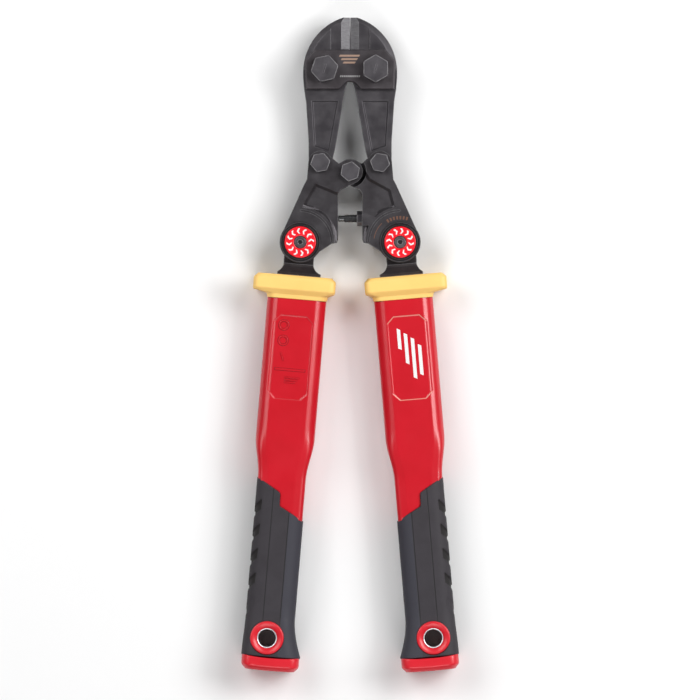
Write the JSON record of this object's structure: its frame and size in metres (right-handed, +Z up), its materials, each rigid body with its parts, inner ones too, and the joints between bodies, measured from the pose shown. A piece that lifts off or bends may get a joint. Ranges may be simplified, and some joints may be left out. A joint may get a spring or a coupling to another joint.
{
  "type": "bolt cutters",
  "caption": "Compound-action bolt cutters with two straight handles that turn at push-button pivots, yellow hand guards and hanging holes",
  "frame": {"origin": "middle of the bottom of the whole tool's box, lying on its back, jaws shut", "axes": "+Y along the tool towards the jaws, +Z up out of the front face, +X to the right-hand handle"},
  "size_m": [0.1524, 0.4584, 0.035],
  "materials": {
    "plate_steel": "black oxide, satin",
    "jaw_steel": "forged, black oxide, ground blades",
    "arm_steel": "forged, black oxide",
    "bolt_steel": "black oxide",
    "inner_steel": "plain, oiled",
    "bezel_plastic": "moulded",
    "button_plastic": "moulded, semi-gloss",
    "guard_plastic": "moulded, soft satin",
    "handle_plastic": "moulded, semi-gloss",
    "grip_rubber": "overmoulded, matte",
    "cap_plastic": "moulded, semi-gloss",
    "sleeve_metal": "turned"
  },
  "bodies": {
    "head": {"front_plate": "plate_steel", "back_plate": "plate_steel", "jaw_bolts": "bolt_steel", "jaw_nuts": "bolt_steel"},
    "left_jaw": {"left_jaw": "jaw_steel"},
    "right_jaw": {"right_jaw": "jaw_steel"},
    "left_arm": {"left_arm": "arm_steel", "left_link_bolt": "bolt_steel", "left_link_nut": "bolt_steel", "centre_bolt": "bolt_steel", "centre_nut": "bolt_steel", "left_bezel": "bezel_plastic", "left_pivot_pin": "bolt_steel", "left_pivot_nut": "bolt_steel", "left_button_spring": "inner_steel"},
    "right_arm": {"right_arm": "arm_steel", "right_link_bolt": "bolt_steel", "right_link_nut": "bolt_steel", "stop_screw": "inner_steel", "stop_lock_nut": "bolt_steel", "right_bezel": "bezel_plastic", "right_pivot_pin": "bolt_steel", "right_pivot_nut": "bolt_steel", "right_button_spring": "inner_steel"},
    "left_button": {"left_push_button": "button_plastic", "left_lock_gear": "inner_steel"},
    "left_handle": {"left_handle_fitting": "arm_steel", "left_guard": "guard_plastic", "left_handle_tube": "handle_plastic", "left_grip": "grip_rubber", "left_end_cap": "cap_plastic", "left_hang_sleeve": "sleeve_metal", "left_hang_grommets": "cap_plastic"},
    "right_button": {"right_push_button": "button_plastic", "right_lock_gear": "inner_steel"},
    "right_handle": {"right_handle_fitting": "arm_steel", "right_guard": "guard_plastic", "right_handle_tube": "handle_plastic", "right_grip": "grip_rubber", "right_end_cap": "cap_plastic", "right_hang_sleeve": "sleeve_metal", "right_hang_grommets": "cap_plastic"}
  },
  "joints": [
    {"name": "left_jaw_open", "type": "hinge", "parent": "head", "child": "left_jaw", "pos_m": [-0.01785, 0.19332, 0.0175], "axis": [0, 0, 1], "range_deg": [0, 9.7]},
    {"name": "left_arm_swing", "type": "hinge", "parent": "left_jaw", "child": "left_arm", "pos_m": [-0.0209, 0.12762, 0.0175], "axis": [0, 0, 1], "range_deg": [-59.17, 0]},
    {"name": "left_handle_turn", "type": "hinge", "parent": "left_arm", "child": "left_handle", "pos_m": [-0.0349, 0.07202, 0.0175], "axis": [0, 0, 1], "range_deg": [-90, 0]},
    {"name": "left_button_press", "type": "slide", "parent": "left_arm", "child": "left_button", "axis": [0, 0, -1], "range_m": [0, 0.002], "stiffness_N_per_m": 1500, "springref_m": -0.002, "deforming": ["left_button_spring"]},
    {"name": "right_jaw_open", "type": "hinge", "parent": "head", "child": "right_jaw", "pos_m": [0.01785, 0.19332, 0.0175], "axis": [0, 0, 1], "range_deg": [-9.7, 0]},
    {"name": "right_arm_swing", "type": "hinge", "parent": "right_jaw", "child": "right_arm", "pos_m": [0.0209, 0.12762, 0.0175], "axis": [0, 0, 1], "range_deg": [0, 59.17]},
    {"name": "right_handle_turn", "type": "hinge", "parent": "right_arm", "child": "right_handle", "pos_m": [0.0349, 0.07202, 0.0175], "axis": [0, 0, 1], "range_deg": [0, 90]},
    {"name": "right_button_press", "type": "slide", "parent": "right_arm", "child": "right_button", "axis": [0, 0, -1], "range_m": [0, 0.002], "stiffness_N_per_m": 1500, "springref_m": -0.002, "deforming": ["right_button_spring"]}
  ],
  "couplings": [
    {"joint": "right_jaw_open", "follows": "left_jaw_open", "ratio": -1},
    {"joint": "left_arm_swing", "follows": "left_jaw_open", "ratio": -6.1},
    {"joint": "right_arm_swing", "follows": "left_jaw_open", "ratio": 6.1}
  ]
}
